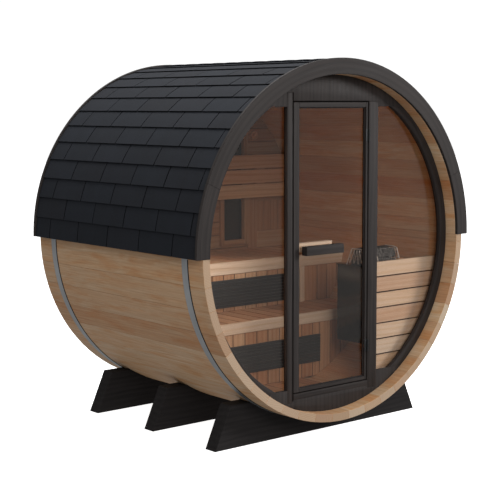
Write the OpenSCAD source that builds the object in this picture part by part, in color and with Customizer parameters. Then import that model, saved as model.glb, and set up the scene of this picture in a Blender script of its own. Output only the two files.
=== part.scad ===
// Barrel sauna: a round cabin of softwood staves on three cradles, with a
// shingled upper half, a glazed front wall with one hinged door, two tiers of
// benches across the back and a heater behind a slatted guard.
// Frame: +X to the right seen from the front, +Y to the back, +Z up,
// origin on the ground under the middle of the barrel. Millimetres.

/* [Barrel] */
// Outer radius of the stave wall
stave_radius = 995; // [980:1:1010]
// Thickness of a stave
stave_thickness = 46; // [42:1:48]
// Length of the staves
barrel_length = 1600; // [1560:10:1800]
// Height of the barrel's axis above the ground
axis_height = 1080; // [1075:1:1110]

/* [Roof] */
// Depth of roof boarding and shingles together
roof_depth = 36; // [20:1:44]
// Thickness of the curved fascia boards
fascia_thickness = 18; // [12:1:24]
// How far a fascia stands out past the shingles
fascia_lip = 7; // [2:1:10]

/* [Cradles] */
// Distance between neighbouring cradles
cradle_spacing = 575; // [560:5:590]
// Thickness of a cradle along the barrel
cradle_thickness = 90; // [60:5:90]
// Half length of a cradle at the ground
cradle_foot = 779; // [740:1:800]
// Half length of a cradle at its top corners
cradle_top = 672; // [650:1:700]
// Height of a cradle's ends
cradle_height = 240; // [200:5:260]

/* [Steel bands] */
// Width of a band
band_width = 50; // [30:2:50]
// Thickness of a band
band_thickness = 2; // [1:0.5:3]
// Distance of a band's middle from the middle of the barrel
band_place = 645; // [645:5:700]

/* [Front wall] */
// Distance of the front wall behind the stave ends
wall_inset = 84; // [80:1:90]
// Depth of the front wall's timber
wall_depth = 40; // [38:1:48]
// Width of the round frame
ring_width = 52; // [40:1:60]
// Depth of the glass behind the wall's face
glass_inset = 24; // [20:1:28]
// Thickness of a pane
glass_thickness = 6; // [4:1:8]
// Width of the post on the handle side
handle_post = 37; // [30:1:50]
// Width of the post on the hinge side
hinge_post = 74; // [60:1:80]

/* [Door] */
// Left edge of the door leaf
door_left = -299; // [-310:1:-290]
// Right edge of the door leaf
door_right = 269; // [260:1:275]
// Underside of the door leaf
door_bottom = 270; // [262:1:280]
// Top of the door leaf
door_top = 1877; // [1860:1:1880]
// Thickness of the door leaf
door_thickness = 26; // [25:1:28]
// Clear gap round the door leaf
door_gap = 8; // [7:0.5:10]
// Width of the stile on the handle side
stile_handle = 42; // [36:1:50]
// Width of the stile on the hinge side
stile_hinge = 15; // [14:1:24]
// Width of the top rail
rail_top = 28; // [24:1:50]
// Width of the bottom rail
rail_bottom = 20; // [20:1:40]

/* [Benches] */
// Top of the floor
floor_top = 197; // [190:1:205]
// Top of the lower bench
lower_seat = 595; // [560:5:620]
// Top of the upper bench
upper_seat = 900; // [870:5:930]
// Front face of the lower bench
lower_front = -203; // [-220:1:-180]
// Front face of the upper bench
upper_front = 160; // [140:1:200]
// Thickness of seat boards
seat_board = 25; // [20:1:28]

/* [Heater] */
// Left side of the heater
heater_left = 400; // [396:1:400]
// Width of the heater
heater_width = 295; // [285:1:295]
// Depth of the heater along the barrel
heater_depth = 259; // [220:1:265]
// Underside of the heater
heater_bottom = 437; // [437:1:460]
// Top of the heater's casing
heater_top = 905; // [880:5:920]

/* [Hidden] */
$fn = 180;
half = barrel_length / 2;
inner_radius = stave_radius - stave_thickness;
fit_radius = inner_radius - 0.3;
fascia_front_y = half + 6;
stave_end_y = fascia_front_y - fascia_thickness;
roof_inner = stave_radius + band_thickness;
roof_outer = stave_radius + 2 + roof_depth;
fw0 = -half + wall_inset;
fw1 = fw0 + wall_depth;
gl0 = fw0 + glass_inset;
gl1 = gl0 + glass_thickness;
ring_inner = fit_radius - ring_width;
rebate = 8;
glass_top = 1852;
glass_low_left = 290;
glass_low_right = 312;
open_left = door_left - door_gap - 1;
open_right = door_right + door_gap + 2;
post_l = open_left - handle_post;
post_r = open_right + hinge_post;
post_foot = 216;
post_l_top = 1929;
post_r_top = 1880;
head_z = door_top + 7;
sill_z = door_bottom - 7;
threshold_z = 231;
groove = 25;
stop_y0 = fw0 + door_thickness + 6;
pin_x = door_right + 5;
pin_y = fw0 - 6;
hinge_h = 70;
hinge_z = [472, 1690];
handle_x0 = -239;
handle_x1 = 43;
handle_z0 = 1036;
handle_z1 = 1086;
inner_x1 = 23;
inner_z0 = 1049;
inner_z1 = 1099;
dg0 = fw0 + 16;
dg1 = dg0 + 6;
rear0 = half - wall_inset - 43;
rear1 = half - wall_inset;
win = [320, 492, 967, 1650];
heater_y0 = -590;
heater_y1 = heater_y0 + heater_depth;
guard_y = -640;

dark = [0.17, 0.15, 0.14];
pine = [0.86, 0.72, 0.54];
tan_wood = [0.72, 0.52, 0.36];
slate = [0.15, 0.17, 0.20];
steel = [0.62, 0.63, 0.64];
tint = [0.42, 0.34, 0.28, 0.5];

// cylinder about the barrel's axis
module drum(r, y0, y1) translate([0, y1, axis_height]) rotate([90, 0, 0]) cylinder(r = r, h = y1 - y0);
// outline in the X-Z plane, pushed along Y
module along(y0, y1) translate([0, y1, 0]) rotate([90, 0, 0]) linear_extrude(y1 - y0) children();
// box from its limits
module slab(x0, x1, y0, y1, z0, z1) translate([x0, y0, z0]) cube([x1 - x0, y1 - y0, z1 - z0]);
// part of a tube about the barrel's axis, between two angles from +X
module arc_shell(r0, r1, a0, a1, y0, y1) {
  big = 2.2 * r1;
  intersection() {
    difference() { drum(r1, y0, y1); drum(r0, y0 - 1, y1 + 1); }
    translate([0, 0, axis_height]) along(y0 - 2, y1 + 2)
      polygon([[0, 0], [big * cos(a0), big * sin(a0)], [big * cos((a0 + a1) / 2), big * sin((a0 + a1) / 2)], [big * cos(a1), big * sin(a1)]]);
  }
}
// box trimmed to the inside of the barrel
module inside(x0, x1, y0, y1, z0, z1, r = fit_radius) intersection() { slab(x0, x1, y0, y1, z0, z1); drum(r, y0 - 1, y1 + 1); }

module cradle(y) color(dark) difference() {
  along(y - cradle_thickness / 2, y + cradle_thickness / 2)
    polygon([[-cradle_foot, 0], [cradle_foot, 0], [cradle_top, cradle_height], [-cradle_top, cradle_height]]);
  drum(stave_radius, y - cradle_thickness, y + cradle_thickness);
}
module cradle_front() cradle(-cradle_spacing);
module cradle_middle() cradle(0);
module cradle_rear() cradle(cradle_spacing);

module staves(a0, a1, y) color(pine) arc_shell(inner_radius, stave_radius, a0, a1, -y, y);
module staves_right_upper() staves(0, 60, stave_end_y);
module staves_crown() staves(60, 120, stave_end_y);
module staves_left_upper() staves(120, 180, stave_end_y);
module staves_left_lower() staves(180, 240, half);
module staves_bottom() staves(240, 300, half);
module staves_right_lower() staves(300, 360, half);

module steel_bands() color(steel) for (s = [-1, 1]) difference() {
  drum(stave_radius + band_thickness, s * band_place - band_width / 2, s * band_place + band_width / 2);
  drum(stave_radius, s * band_place - band_width, s * band_place + band_width);
}

module roof(a0, a1) color(slate) arc_shell(roof_inner, roof_outer, a0, a1, -stave_end_y, stave_end_y);
module roof_right() roof(0, 60);
module roof_crown() roof(60, 120);
module roof_left() roof(120, 180);

module fascia(y0, y1) color(dark) intersection() {
  difference() { drum(roof_outer + fascia_lip, y0, y1); drum(inner_radius + 1, y0 - 1, y1 + 1); }
  slab(-1200, 1200, y0 - 1, y1 + 1, axis_height, axis_height + 1200);
}
module fascia_front() fascia(-fascia_front_y, -stave_end_y);
module fascia_rear() fascia(stave_end_y, fascia_front_y);

// room for a side pane, behind the face of the front wall
module pane_pocket(side, r, grow) intersection() {
  drum(r, gl0, fw1 + 1);
  if (side < 0) slab(-1000, post_l + rebate, gl0 - 1, fw1 + 2, glass_low_left - rebate, glass_top + rebate);
  else slab(post_r - rebate, 1000, gl0 - 1, fw1 + 2, glass_low_right - rebate, glass_top + rebate);
}
module front_ring(side) color(dark) difference() {
  intersection() {
    drum(fit_radius, fw0, fw1);
    if (side < 0) slab(-1000, post_l, fw0 - 1, fw1 + 1, glass_low_left, glass_top);
    else slab(post_r, 1000, fw0 - 1, fw1 + 1, glass_low_right, glass_top);
  }
  drum(ring_inner, fw0 - 2, fw1 + 2);
  pane_pocket(side, ring_inner + rebate, 0);
}
module front_ring_left() front_ring(-1);
module front_ring_right() front_ring(1);

module front_head_panel() color(dark) {
  difference() {
    inside(-1000, 1000, fw0, fw1, glass_top, 2200);
    slab(post_l, open_left, fw0 - 1, fw1 + 1, 1000, post_l_top);
    slab(open_left - 1, open_right, fw0 - 1, fw1 + 1, 1000, head_z);
    slab(open_right - 1, post_r, fw0 - 1, fw1 + 1, 1000, post_r_top);
    slab(open_left, door_left, fw0 - 1, fw0 + groove, head_z - 1, post_l_top);
    pane_pocket(-1, ring_inner + rebate, 0);
    pane_pocket(1, ring_inner + rebate, 0);
  }
  slab(open_left, open_right, stop_y0, fw1, head_z - 12, head_z);
}
module front_sill_panel() color(dark) {
  difference() {
    inside(-1000, 1000, fw0, fw1, 0, glass_low_right);
    slab(-1001, post_l, fw0 - 1, fw1 + 1, glass_low_left, 1000);
    slab(post_l - 1, post_r, fw0 - 1, fw1 + 1, threshold_z, 1000);
    slab(open_left, door_left, fw0 - 1, fw0 + groove, threshold_z - 7, threshold_z + 1);
    slab(post_l, open_left, fw0 - 1, fw1 + 1, post_foot, 1000);
    slab(open_right, post_r, fw0 - 1, fw1 + 1, post_foot, 1000);
    pane_pocket(-1, ring_inner + rebate, 0);
    pane_pocket(1, ring_inner + rebate, 0);
  }
}
// board under the door, with the stop the door's lower edge closes against
module threshold() color(dark) {
  difference() {
    slab(open_left, open_right, fw0, fw1, threshold_z, sill_z);
    slab(open_left - 1, door_left, fw0 - 1, fw0 + groove, threshold_z - 1, sill_z + 1);
  }
  slab(open_left, open_right, stop_y0, fw1, sill_z, sill_z + 19);
}
module post_handle_side() color(dark) {
  difference() {
    slab(post_l, open_left, fw0, fw1, post_foot, post_l_top);
    slab(post_l - 1, post_l + rebate, gl0, fw1 + 1, glass_low_left - rebate, glass_top + rebate);
  }
  slab(open_left, open_left + 12, stop_y0, fw1, sill_z + 19, head_z - 12);
}
module post_hinge_side() color(dark) {
  difference() {
    slab(open_right, post_r, fw0, fw1, post_foot, post_r_top);
    slab(post_r - rebate, post_r + 1, gl0, fw1 + 1, glass_low_right - rebate, glass_top + rebate);
  }
  slab(open_right - 12, open_right, stop_y0, fw1, sill_z + 19, head_z - 12);
}
module side_pane(side) color(tint) intersection() {
  drum(ring_inner + rebate - 0.3, gl0, gl1);
  if (side < 0) slab(-1000, post_l + rebate, gl0, gl1, glass_low_left - rebate, glass_top + rebate);
  else slab(post_r - rebate, 1000, gl0, gl1, glass_low_right - rebate, glass_top + rebate);
}
module front_glass_left() side_pane(-1);
module front_glass_right() side_pane(1);

// two hinges: post-side leaf in the gap, outer knuckles and pin
module hinge_post_leaves() color(dark) for (z = hinge_z) {
  translate([pin_x, pin_y, z - hinge_h / 2]) cylinder(r = 2.6, h = hinge_h);
  for (e = [-1, 1]) translate([pin_x, pin_y, z + e * (hinge_h / 2 - 11) - 11]) cylinder(r = 6, h = 22);
  for (e = [-1, 1]) slab(open_right - 2, open_right, pin_y + 3, fw0 + 26, z + e * (hinge_h / 2 - 11) - 11, z + e * (hinge_h / 2 - 11) + 11);
  slab(open_right - 2, open_right, fw0 + 2, fw0 + 26, z - hinge_h / 2, z + hinge_h / 2);
}
// door-side leaf folded round the stile, with the middle knuckle
module hinge_door_leaves() color(dark) for (z = hinge_z) difference() {
  union() {
    slab(door_right - stile_hinge - 3, door_right - 2, fw0 - 3, fw0, z - hinge_h / 2, z + hinge_h / 2);
    slab(door_right - stile_hinge - 3, door_right - stile_hinge, fw0 - 3, dg0 - 0.5, z - hinge_h / 2, z + hinge_h / 2);
    slab(door_right - 10, pin_x, fw0 - 3, fw0 - 0.5, z - 12, z + 12);
    translate([pin_x, pin_y, z - 12]) cylinder(r = 6, h = 24);
  }
  translate([pin_x, pin_y, z - hinge_h]) cylinder(r = 3, h = 2 * hinge_h);
}

module door_frame() color(dark) difference() {
  slab(door_left, door_right, fw0, fw0 + door_thickness, door_bottom, door_top);
  slab(door_left + stile_handle, door_right - stile_hinge, fw0 - 1, fw0 + door_thickness + 1, door_bottom + rail_bottom, door_top - rail_top);
  slab(door_left + stile_handle - rebate, door_right - stile_hinge + rebate, dg0, dg1, door_bottom + rail_bottom - rebate, door_top - rail_top + rebate);
}
module door_glass() color(tint)
  slab(door_left + stile_handle - rebate + 0.5, door_right - stile_hinge + rebate - 0.5, dg0, dg1, door_bottom + rail_bottom - rebate + 0.5, door_top - rail_top + rebate - 0.5);
module door_handle_outer() color(dark) {
  slab(handle_x0, handle_x1, dg0 - 59, dg0 - 16, handle_z0, handle_z1);
  for (x = [handle_x0 + 24, handle_x1 - 24]) translate([x, dg0, (handle_z0 + handle_z1) / 2]) rotate([90, 0, 0]) cylinder(r = 10, h = 17);
}
module door_handle_inner() color(pine) {
  slab(handle_x0, inner_x1, dg1 + 12, dg1 + 50, inner_z0, inner_z1);
  for (x = [handle_x0 + 24, inner_x1 - 24]) translate([x, dg1 + 13, (inner_z0 + inner_z1) / 2]) rotate([90, 0, 0]) cylinder(r = 10, h = 13);
}

module rear_wall() color(tan_wood) difference() {
  drum(fit_radius, rear0, rear1);
  slab(win[0] - 14, win[1] + 14, rear0 - 1, rear1 + 1, win[2] - 14, win[3] + 14);
}
module rear_window_frame() color(pine) difference() {
  union() {
    slab(win[0] - 33, win[1] + 33, rear0 - 15, rear0, win[2] - 33, win[3] + 33);
    slab(win[0] - 14, win[1] + 14, rear0 - 1, rear1 + 1, win[2] - 14, win[3] + 14);
    slab(win[0] - 33, win[1] + 33, rear1, rear1 + 12, win[2] - 33, win[3] + 33);
  }
  slab(win[0], win[1], rear0 - 20, rear1 + 20, win[2], win[3]);
  slab(win[0] - 6, win[1] + 6, rear0 + 18, rear0 + 24, win[2] - 6, win[3] + 6);
}
module rear_window_glass() color(tint) slab(win[0] - 5.5, win[1] + 5.5, rear0 + 18, rear0 + 24, win[2] - 5.5, win[3] + 5.5);

module floor() color(tan_wood) inside(-500, 500, fw1, rear0, floor_top - 28, floor_top);
module lower_bench() color(tan_wood) {
  inside(-1000, 1000, lower_front + 22, upper_front + 22, lower_seat - seat_board, lower_seat);
  inside(-1000, 1000, lower_front, lower_front + 22.5, lower_seat - 65, lower_seat);
}
module lower_riser() color(tan_wood) inside(-1000, 1000, lower_front + 4, lower_front + 22, floor_top, lower_seat - 65);
module lower_dark_panel() color(dark) slab(-381, 381, lower_front - 4, lower_front + 4, 285, 457);
module upper_bench() color(tan_wood) {
  inside(-1000, 1000, upper_front + 22, rear0, upper_seat - seat_board, upper_seat);
  inside(-1000, 1000, upper_front, upper_front + 22.5, upper_seat - 75, upper_seat);
}
module upper_riser() color(tan_wood) inside(-1000, 1000, upper_front + 4, upper_front + 22, lower_seat, upper_seat - 75);
module upper_dark_panel() color(dark) slab(-530, 530, upper_front - 4, upper_front + 4, 620, 793);
module backrest() color(tan_wood) {
  for (k = [0:2]) inside(-1000, 1000, rear0 - 63, rear0 - 41, 1246 + 97 * k, 1337 + 97 * k);
  for (s = [-1, 1]) slab(s * 610 - 40, s * 610 + 40, rear0 - 41.5, rear0, 1246, 1531);
}
module air_vent() color(pine) translate([585, rear0, 1660]) rotate([90, 0, 0]) cylinder(r = 30, h = 18);

module heater_body() color([0.16, 0.16, 0.17]) {
  slab(heater_left, heater_left + heater_width, heater_y0, heater_y1, heater_bottom, heater_top);
  inside(heater_left + heater_width - 1, 990, (heater_y0 + heater_y1) / 2 - 60, (heater_y0 + heater_y1) / 2 + 60, 740, 780);
}
// heap of stones with sloping front and back
module heater_stones() color([0.35, 0.34, 0.33]) translate([heater_left + 3, 0, 0]) rotate([90, 0, 90]) linear_extrude(heater_width - 6)
  polygon([[heater_y0 + 3, heater_top], [heater_y0 + 185, heater_top], [heater_y0 + 140, heater_top + 105], [heater_y0 + 38, heater_top + 105]]);
module heater_guard() color(pine) {
  for (k = [0:6]) inside(post_r + 7, 1000, guard_y, guard_y + 18, 293 + 93.2 * k, 381 + 93.2 * k);
  for (x = [post_r + 7, 640]) inside(x, x + 40, guard_y + 17.5, guard_y + 38, 150, 940);
}

cradle_front();
cradle_middle();
cradle_rear();
staves_right_upper();
staves_crown();
staves_left_upper();
staves_left_lower();
staves_bottom();
staves_right_lower();
steel_bands();
roof_right();
roof_crown();
roof_left();
fascia_front();
fascia_rear();
front_ring_left();
front_ring_right();
front_head_panel();
front_sill_panel();
threshold();
post_handle_side();
post_hinge_side();
front_glass_left();
front_glass_right();
hinge_post_leaves();
door_frame();
door_glass();
door_handle_outer();
door_handle_inner();
hinge_door_leaves();
rear_wall();
rear_window_frame();
rear_window_glass();
floor();
lower_bench();
lower_riser();
lower_dark_panel();
upper_bench();
upper_riser();
upper_dark_panel();
backrest();
air_vent();
heater_body();
heater_stones();
heater_guard();
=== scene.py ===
import bpy, bmesh, math, random
from mathutils import Vector, Matrix, noise


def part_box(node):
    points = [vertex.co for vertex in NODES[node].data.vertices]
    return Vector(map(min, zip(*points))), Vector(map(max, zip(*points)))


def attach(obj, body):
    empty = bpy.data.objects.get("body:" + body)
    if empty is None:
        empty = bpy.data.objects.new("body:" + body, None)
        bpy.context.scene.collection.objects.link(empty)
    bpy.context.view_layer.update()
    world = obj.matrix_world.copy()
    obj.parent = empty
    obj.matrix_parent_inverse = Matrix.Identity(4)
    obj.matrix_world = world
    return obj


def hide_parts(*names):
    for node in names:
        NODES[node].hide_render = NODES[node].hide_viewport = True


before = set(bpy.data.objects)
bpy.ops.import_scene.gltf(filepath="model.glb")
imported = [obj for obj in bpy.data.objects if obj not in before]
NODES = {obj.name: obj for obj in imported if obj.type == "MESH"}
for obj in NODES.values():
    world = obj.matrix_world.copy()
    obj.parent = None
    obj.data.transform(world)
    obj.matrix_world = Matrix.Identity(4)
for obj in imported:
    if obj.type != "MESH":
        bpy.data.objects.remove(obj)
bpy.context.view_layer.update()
rnd = random.Random(4071)
SC = bpy.context.scene
COL = SC.collection


def B(name):
    lo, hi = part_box(name)
    return lo.x, hi.x, lo.y, hi.y, lo.z, hi.z


# ------------------------------------------------------------------ sizes from the frame
_s = B("staves_right_lower")
R_OUT, AX, Y0, Y1 = _s[1], _s[5], _s[2], _s[3]
_w = B("rear_wall")
R_FIT = _w[1]
R_IN = R_FIT + 0.0003
_u = B("staves_crown")
YS0, YS1 = _u[2], _u[3]
R_ROOF = B("roof_right")[1]
R_FAS = B("fascia_front")[1]
RAD = math.pi / 180.0


def polar(r, deg, y):
    return Vector((r * math.cos(deg * RAD), y, AX + r * math.sin(deg * RAD)))


# ------------------------------------------------------------------ mesh helpers
class Build:
    """Gathers boards and plates in one mesh with a grain coordinate, a tone, a hue and an edge mark at each vertex;
    the edge mark paints shade into joints and gaps.
    """

    def __init__(self):
        self.v, self.f, self.g, self.t, self.h, self.e = [], [], [], [], [], []

    def _push(self, verts, faces, grain, tone, hue, edge=None):
        n = len(self.v)
        self.v += verts
        self.f += [tuple(n + i for i in f) for f in faces]
        self.g += grain
        self.t += [tone] * len(verts)
        self.h += [hue] * len(verts)
        self.e += edge or [0.0] * len(verts)

    def board(self, L, W, T, place, nL=1, nW=1, c=0.0012, tone=None, hue=None, off=None, mark=None):
        """A chamfered board: L along the grain, W across, T thick, put in place by place(u, v, w)."""
        c = min(c, W * 0.3, T * 0.3, L * 0.3)
        tone = rnd.random() if tone is None else tone
        hue = rnd.random() if hue is None else hue
        off = Vector((rnd.uniform(0, 9), rnd.uniform(0, 9), rnd.uniform(0, 9))) if off is None else off

        def section(k):
            pts = []
            for i in range(nW + 1):
                pts.append((c + k + (W - 2 * c - 2 * k) * i / nW, k))
            pts += [(W - k, c + k), (W - k, T - c - k)]
            for i in range(nW + 1):
                pts.append((W - c - k - (W - 2 * c - 2 * k) * i / nW, T - k))
            pts += [(k, T - c - k), (k, c + k)]
            return pts

        us = [0.0] + [c + (L - 2 * c) * i / nL for i in range(nL + 1)] + [L]
        verts, grain, edge = [], [], []
        m = 0
        for j, u in enumerate(us):
            s = section(c * 0.7 if j in (0, len(us) - 1) else 0.0)
            m = len(s)
            for (v, w) in s:
                verts.append(Vector(place(u, v, w)))
                grain.append(off + Vector((u, v, w)))
                edge.append(mark(u, v, w) if mark else 0.0)
        faces = []
        for j in range(len(us) - 1):
            for i in range(m):
                a, b = j * m + i, j * m + (i + 1) % m
                faces.append((a, b, b + m, a + m))
        faces.append(tuple(range(m))[::-1])
        faces.append(tuple((len(us) - 1) * m + i for i in range(m)))
        self._push(verts, faces, grain, tone, hue, edge)

    def box(self, x0, x1, y0, y1, z0, z1, grain="x", c=0.0012, nL=1, tone=None, hue=None, off=None, mark=None):
        """A board lying along one of the frame's axes."""
        if grain == "x":
            f = lambda u, v, w: (x0 + u, y0 + w, z0 + v)
            d = (x1 - x0, z1 - z0, y1 - y0)
        elif grain == "z":
            f = lambda u, v, w: (x0 + v, y0 + w, z0 + u)
            d = (z1 - z0, x1 - x0, y1 - y0)
        else:
            f = lambda u, v, w: (x0 + v, y0 + u, z0 + w)
            d = (y1 - y0, x1 - x0, z1 - z0)
        self.board(d[0], d[1], d[2], f, nL=nL, c=c, tone=tone, hue=hue, off=off, mark=mark)

    def plate(self, outline, y0, y1, c=0.0012, grain="x", tone=None, hue=None, off=None, place=None, edge=0.0):
        """A flat piece cut to an outline in X-Z and set between two depths, its edges eased."""
        tone = rnd.random() if tone is None else tone
        hue = rnd.random() if hue is None else hue
        off = Vector((rnd.uniform(0, 9), rnd.uniform(0, 9), rnd.uniform(0, 9))) if off is None else off
        pts = clean(outline)
        if area(pts) < 0:
            pts = pts[::-1]
        inner = shrink(pts, c)
        rows = [(inner, y0), (pts, y0 + c), (pts, y1 - c), (inner, y1)]
        verts, grain_c = [], []
        n = len(pts)
        for ring, y in rows:
            for (a, b) in ring:
                verts.append(Vector(place(a, y, b)) if place else Vector((a, y, b)))
                if grain == "x":
                    grain_c.append(off + Vector((a, b, y)))
                elif grain == "z":
                    grain_c.append(off + Vector((b, a, y)))
                else:
                    grain_c.append(off + Vector((y, a, b)))
        faces = []
        for j in range(3):
            for i in range(n):
                a, b = j * n + i, j * n + (i + 1) % n
                faces.append((a, b, b + n, a + n))
        faces.append(tuple(range(n))[::-1])
        faces.append(tuple(3 * n + i for i in range(n)))
        # edge paints shade on the piece's side faces, for the gaps between boards
        self._push(verts, faces, grain_c, tone, hue, [0.0] * n + [edge] * (2 * n) + [0.0] * n)

    def lathe(self, profile, origin, axis, n=32, tone=0.5, hue=0.5, cap=True):
        """A turned shape: profile of (radius, height) along an axis from origin."""
        axis = Vector(axis).normalized()
        a = axis.orthogonal().normalized()
        b = axis.cross(a)
        o = Vector(origin)
        verts, grain = [], []
        off = Vector((rnd.uniform(0, 9), rnd.uniform(0, 9), rnd.uniform(0, 9)))
        for (r, h) in profile:
            for i in range(n):
                t = 2 * math.pi * i / n
                d = a * (r * math.cos(t)) + b * (r * math.sin(t))
                verts.append(o + d + axis * h)
                grain.append(off + Vector((r * math.cos(t), r * math.sin(t), h)))
        faces = []
        for j in range(len(profile) - 1):
            for i in range(n):
                p, q = j * n + i, j * n + (i + 1) % n
                faces.append((p, q, q + n, p + n))
        if cap:
            faces.append(tuple(range(n))[::-1])
            faces.append(tuple((len(profile) - 1) * n + i for i in range(n)))
        self._push(verts, faces, grain, tone, hue)

    def rod(self, path, r, n=8, tone=0.5, hue=0.5):
        """A round rod or wire along points."""
        path = [Vector(p) for p in path]
        verts, grain, faces = [], [], []
        last = None
        for k, p in enumerate(path):
            d = (path[min(k + 1, len(path) - 1)] - path[max(k - 1, 0)]).normalized()
            a = (last - d * last.dot(d)).normalized() if last is not None else d.orthogonal().normalized()
            last = a
            b = d.cross(a)
            for i in range(n):
                t = 2 * math.pi * i / n
                verts.append(p + a * (r * math.cos(t)) + b * (r * math.sin(t)))
                grain.append(Vector((k * 0.01, r * math.cos(t), r * math.sin(t))))
        for j in range(len(path) - 1):
            for i in range(n):
                p, q = j * n + i, j * n + (i + 1) % n
                faces.append((p, q, q + n, p + n))
        faces.append(tuple(range(n))[::-1])
        faces.append(tuple((len(path) - 1) * n + i for i in range(n)))
        self._push(verts, faces, grain, tone, hue)

    def raw(self, verts, faces, grain=None, tone=0.5, hue=0.5):
        self._push([Vector(v) for v in verts], faces, grain or [Vector(v) for v in verts], tone, hue)

    def make(self, name, material, body="barrel", replaces=(), slot=None, smooth=25.0):
        me = bpy.data.meshes.new(name)
        me.from_pydata([tuple(v) for v in self.v], [], self.f)
        me.validate()
        bm = bmesh.new()
        bm.from_mesh(me)
        bmesh.ops.recalc_face_normals(bm, faces=bm.faces)
        bm.to_mesh(me)
        bm.free()
        a = me.attributes.new("grain", "FLOAT_VECTOR", "POINT")
        a.data.foreach_set("vector", [x for g in self.g for x in g])
        for key, vals in (("tone", self.t), ("hue", self.h), ("edge", self.e)):
            b = me.attributes.new(key, "FLOAT", "POINT")
            b.data.foreach_set("value", vals)
        me.polygons.foreach_set("use_smooth", [True] * len(me.polygons))
        me.set_sharp_from_angle(angle=math.radians(smooth))
        me.materials.append(material)
        o = bpy.data.objects.new(name, me)
        COL.objects.link(o)
        if replaces:
            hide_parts(*replaces)
        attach(o, body)
        return o


def area(p):
    return 0.5 * sum(p[i][0] * p[(i + 1) % len(p)][1] - p[(i + 1) % len(p)][0] * p[i][1] for i in range(len(p)))


def clean(p, eps=1e-5):
    out = []
    for q in p:
        if not out or (abs(q[0] - out[-1][0]) > eps or abs(q[1] - out[-1][1]) > eps):
            out.append(q)
    if len(out) > 1 and abs(out[0][0] - out[-1][0]) < eps and abs(out[0][1] - out[-1][1]) < eps:
        out.pop()
    return out


def shrink(p, c):
    """The outline moved inward by c, corners mitred."""
    out = []
    n = len(p)
    for i in range(n):
        a, b, d = Vector(p[i - 1]), Vector(p[i]), Vector(p[(i + 1) % n])
        e0, e1 = (b - a).normalized(), (d - b).normalized()
        n0, n1 = Vector((-e0.y, e0.x)), Vector((-e1.y, e1.x))
        m = n0 + n1
        l = m.length
        if l < 1e-6:
            m = n0
            k = 1.0
        else:
            m = m / l
            k = 1.0 / max(0.35, m.dot(n0))
        out.append((b.x + m.x * c * k, b.y + m.y * c * k))
    return out


def clip_half(p, nx, nz, d):
    """The part of an outline with nx*x + nz*z <= d."""
    out = []
    n = len(p)
    for i in range(n):
        a, b = p[i], p[(i + 1) % n]
        da, db = nx * a[0] + nz * a[1] - d, nx * b[0] + nz * b[1] - d
        if da <= 0:
            out.append(a)
        if da * db < 0:
            t = da / (da - db)
            out.append((a[0] + (b[0] - a[0]) * t, a[1] + (b[1] - a[1]) * t))
    return out


def clip_circle(x0, x1, z0, z1, r, n=14):
    """Outline of the rectangle's part inside the circle of radius r about the barrel's axis."""
    pts = []
    N = 720
    circ = [(r * math.cos(2 * math.pi * i / N), AX + r * math.sin(2 * math.pi * i / N)) for i in range(N)]
    p = circ
    for (nx, nz, d) in ((-1, 0, -x0), (1, 0, x1), (0, -1, -z0), (0, 1, z1)):
        p = clip_half(p, nx, nz, d)
        if len(p) < 3:
            return []
    # thin the arc's points
    keep = []
    for i, q in enumerate(p):
        a, b = Vector(p[i - 1]), Vector(p[(i + 1) % len(p)])
        v = Vector(q)
        straight = abs((v - a).cross(b - v)) < 1e-9
        on_arc = abs(math.hypot(q[0], q[1] - AX) - r) < 1e-6
        if straight and not on_arc:
            continue
        keep.append(q)
    res = []
    for i, q in enumerate(keep):
        on = [abs(math.hypot(k[0], k[1] - AX) - r) < 1e-6 for k in (keep[i - 1], q, keep[(i + 1) % len(keep)])]
        if all(on) and i % 3:
            continue
        res.append(q)
    return clean(res)


def from_node(name, piece, material, bevel=0.002, segments=2, grain=None, body="barrel", tone=0.5, hue=0.5, smooth=35.0, split=None):
    """A piece with the CAD node's own shape, its edges eased, and a grain coordinate added."""
    src = NODES[name].data
    bm = bmesh.new()
    bm.from_mesh(src)
    bmesh.ops.remove_doubles(bm, verts=bm.verts, dist=2e-5)
    bmesh.ops.dissolve_limit(bm, angle_limit=math.radians(0.6), verts=bm.verts, edges=bm.edges)
    if bevel:
        edges = [e for e in bm.edges if len(e.link_faces) == 2 and e.calc_face_angle(0) > math.radians(28)]
        bmesh.ops.bevel(bm, geom=edges, offset=bevel, offset_type="OFFSET", segments=segments, profile=0.5, affect="EDGES", clamp_overlap=True)
    me = bpy.data.meshes.new(piece)
    bmesh.ops.recalc_face_normals(bm, faces=bm.faces)
    bm.to_mesh(me)
    bm.free()
    for layer in list(me.attributes):
        if layer.name in ("grain", "tone", "hue"):
            me.attributes.remove(layer)
    grain = grain or (lambda x, y, z: (z, x, y))
    a = me.attributes.new("grain", "FLOAT_VECTOR", "POINT")
    off = (rnd.uniform(0, 9), rnd.uniform(0, 9), rnd.uniform(0, 9))
    vals = []
    for v in me.vertices:
        g = grain(*v.co)
        vals += [g[0] + off[0], g[1] + off[1], g[2] + off[2]]
    a.data.foreach_set("vector", vals)
    for key, val in (("tone", tone), ("hue", hue)):
        b = me.attributes.new(key, "FLOAT", "POINT")
        b.data.foreach_set("value", [val] * len(me.vertices))
    me.polygons.foreach_set("use_smooth", [True] * len(me.polygons))
    me.set_sharp_from_angle(angle=math.radians(smooth))
    me.materials.clear()
    me.materials.append(material)
    o = bpy.data.objects.new(piece, me)
    COL.objects.link(o)
    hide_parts(name)
    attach(o, body)
    return o


# ------------------------------------------------------------------ materials
def srgb(h):
    c = [int(h[i:i + 2], 16) / 255.0 for i in (0, 2, 4)]
    return tuple((x / 12.92 if x <= 0.04045 else ((x + 0.055) / 1.055) ** 2.4) for x in c) + (1.0,)


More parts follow.
